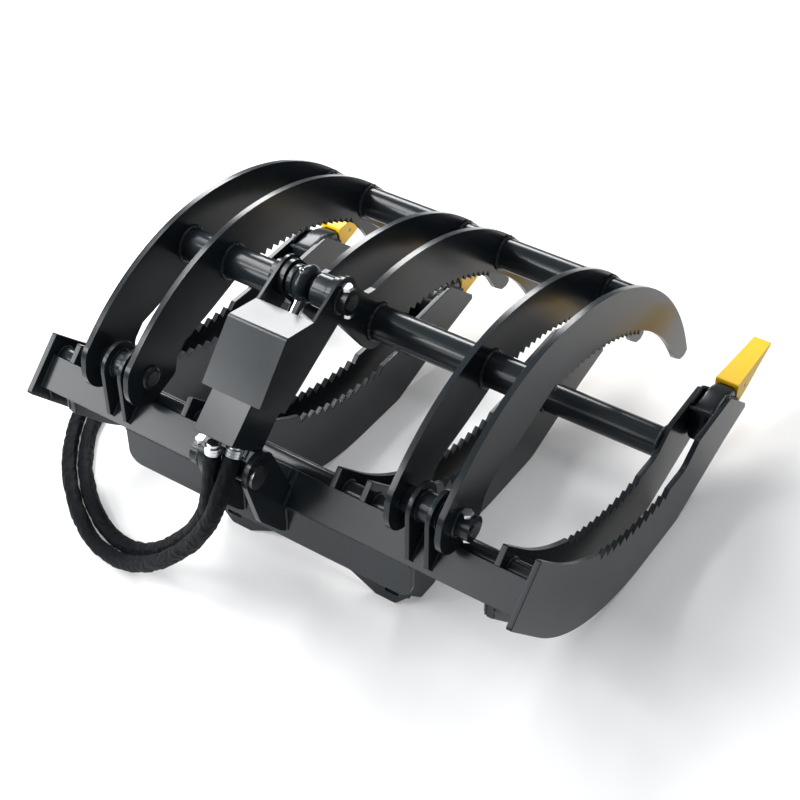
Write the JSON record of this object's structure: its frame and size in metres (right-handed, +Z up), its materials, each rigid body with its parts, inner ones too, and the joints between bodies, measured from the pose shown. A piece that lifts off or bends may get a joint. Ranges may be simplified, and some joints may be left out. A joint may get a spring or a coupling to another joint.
{
  "type": "log grapple",
  "caption": "Hydraulic log grapple for a compact loader: double-plate tines with bolt-on teeth under a curved hinged jaw closed by one covered cylinder.",
  "frame": {"origin": "on the floor under the middle of the grapple's own bounding box", "axes": "+X to the grapple's right, +Y forward along the tines towards the teeth, +Z up"},
  "size_m": [1.2939, 1.283, 0.711],
  "materials": {
    "anthracite_paint": "glossy anthracite powder coat",
    "tooth_yellow": "satin yellow paint on a forged tooth",
    "zinc_steel": "zinc plated",
    "pin_steel": "machined steel, oiled",
    "chrome_rod": "hard chrome, ground",
    "hose_sleeve": "woven textile sleeve"
  },
  "bodies": {
    "frame": {"tine_1_left_plate": "anthracite_paint", "tine_1_right_plate": "anthracite_paint", "tine_2_left_plate": "anthracite_paint", "tine_2_right_plate": "anthracite_paint", "tine_3_left_plate": "anthracite_paint", "tine_3_right_plate": "anthracite_paint", "tine_4_left_plate": "anthracite_paint", "tine_4_right_plate": "anthracite_paint", "tooth_adapters": "anthracite_paint", "tooth_1": "tooth_yellow", "tooth_2": "tooth_yellow", "tooth_3": "tooth_yellow", "tooth_4": "tooth_yellow", "tooth_lock_pins": "zinc_steel", "tine_cross_tube_1": "anthracite_paint", "tine_cross_tube_2": "anthracite_paint", "tine_cross_tube_3": "anthracite_paint", "rear_band": "anthracite_paint", "rear_cross_bar": "anthracite_paint", "hitch_hook_plate": "anthracite_paint", "hitch_lug_plate": "anthracite_paint", "hitch_cheeks": "anthracite_paint", "left_pivot_ear_a": "anthracite_paint", "left_pivot_ear_b": "anthracite_paint", "right_pivot_ear_a": "anthracite_paint", "right_pivot_ear_b": "anthracite_paint", "pivot_sleeves": "anthracite_paint", "cylinder_lug_left": "anthracite_paint", "cylinder_lug_right": "anthracite_paint", "base_pin": "pin_steel", "base_pin_boss": "anthracite_paint", "base_pin_bolt": "zinc_steel", "base_pin_spacers": "pin_steel", "hose_inner": "hose_sleeve", "hose_outer": "hose_sleeve", "hose_fittings": "zinc_steel"},
    "jaw": {"left_jaw_outer_plate": "anthracite_paint", "left_jaw_inner_plate": "anthracite_paint", "right_jaw_outer_plate": "anthracite_paint", "right_jaw_inner_plate": "anthracite_paint", "middle_jaw_left_plate": "anthracite_paint", "middle_jaw_right_plate": "anthracite_paint", "rear_jaw_tube": "anthracite_paint", "front_jaw_tube": "anthracite_paint", "left_pivot_pin": "pin_steel", "right_pivot_pin": "pin_steel", "pivot_spacers": "anthracite_paint", "pivot_bosses": "anthracite_paint", "pivot_bolts": "zinc_steel"},
    "barrel": {"cylinder_barrel": "anthracite_paint", "cylinder_gland": "pin_steel", "lower_cover": "anthracite_paint"},
    "rod": {"piston_rod": "chrome_rod", "rod_eye": "anthracite_paint", "eye_pin": "pin_steel", "eye_pin_spacers": "anthracite_paint", "eye_pin_bosses": "anthracite_paint", "eye_pin_bolt": "zinc_steel", "upper_cover": "anthracite_paint"}
  },
  "joints": [
    {"name": "jaw_hinge", "type": "hinge", "parent": "frame", "child": "jaw", "pos_m": [0, -0.4644, 0.425], "axis": [1, 0, 0], "range_deg": [-6, 48]},
    {"name": "barrel_hinge", "type": "hinge", "parent": "frame", "child": "barrel", "pos_m": [0, -0.5804, 0.437], "axis": [1, 0, 0], "range_deg": [-5.1, 40.6]},
    {"name": "rod_slide", "type": "slide", "parent": "barrel", "child": "rod", "axis": [0, 0.7499, 0.6615], "range_m": [-0.085, 0.011]}
  ],
  "couplings": [
    {"joint": "barrel_hinge", "follows": "jaw_hinge", "ratio": 0.845},
    {"joint": "rod_slide", "follows": "jaw_hinge", "m_per_rad": -0.101}
  ]
}
